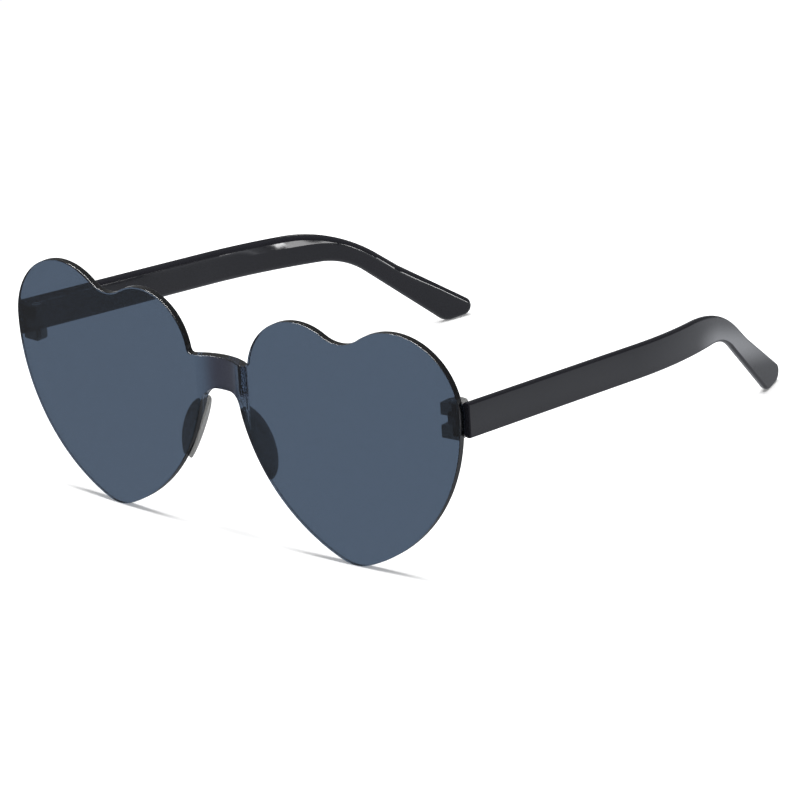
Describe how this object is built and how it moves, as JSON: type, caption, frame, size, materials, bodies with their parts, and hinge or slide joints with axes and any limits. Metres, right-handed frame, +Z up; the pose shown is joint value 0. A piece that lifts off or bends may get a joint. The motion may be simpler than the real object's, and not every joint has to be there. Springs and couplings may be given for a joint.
{
  "type": "sunglasses",
  "caption": "Heart shaped rimless sunglasses: one-piece tinted lens with set-back bridge, nose pads, hinge blocks and folding temples that bend down behind the ears",
  "frame": {"origin": "on the standing surface under the middle of the whole object's box, with the temples open", "axes": "+Z up; the front of the lens faces -Y and the temples run back along +Y; +X is the side of the right-hand temple for someone looking at the front of the lens; X = 0 is the plane of symmetry"},
  "size_m": [0.1394, 0.1516, 0.0585],
  "materials": {
    "lens_tint": "see-through grey-blue tinted polycarbonate, polished both sides",
    "pad_smoke": "smoky dark plastic, smooth",
    "block_smoke": "black moulded plastic, smooth",
    "screw_steel": "small slotted screw, bright",
    "temple_black": "black injection-moulded plastic, glossy"
  },
  "bodies": {
    "front": {"lens_shield": "lens_tint", "nose_pad_left": "pad_smoke", "nose_pad_right": "pad_smoke", "hinge_block_left": "block_smoke", "hinge_block_right": "block_smoke", "hinge_screw_left": "screw_steel", "hinge_screw_right": "screw_steel"},
    "temple_left": {"temple_left": "temple_black"},
    "temple_right": {"temple_right": "temple_black"}
  },
  "joints": [
    {"name": "fold_left", "type": "hinge", "parent": "front", "child": "temple_left", "pos_m": [-0.06446, -0.06769, 0.0398], "axis": [0, 0, -1], "range_deg": [0, 84]},
    {"name": "fold_right", "type": "hinge", "parent": "front", "child": "temple_right", "pos_m": [0.06446, -0.06769, 0.0398], "axis": [0, 0, 1], "range_deg": [0, 74]}
  ]
}
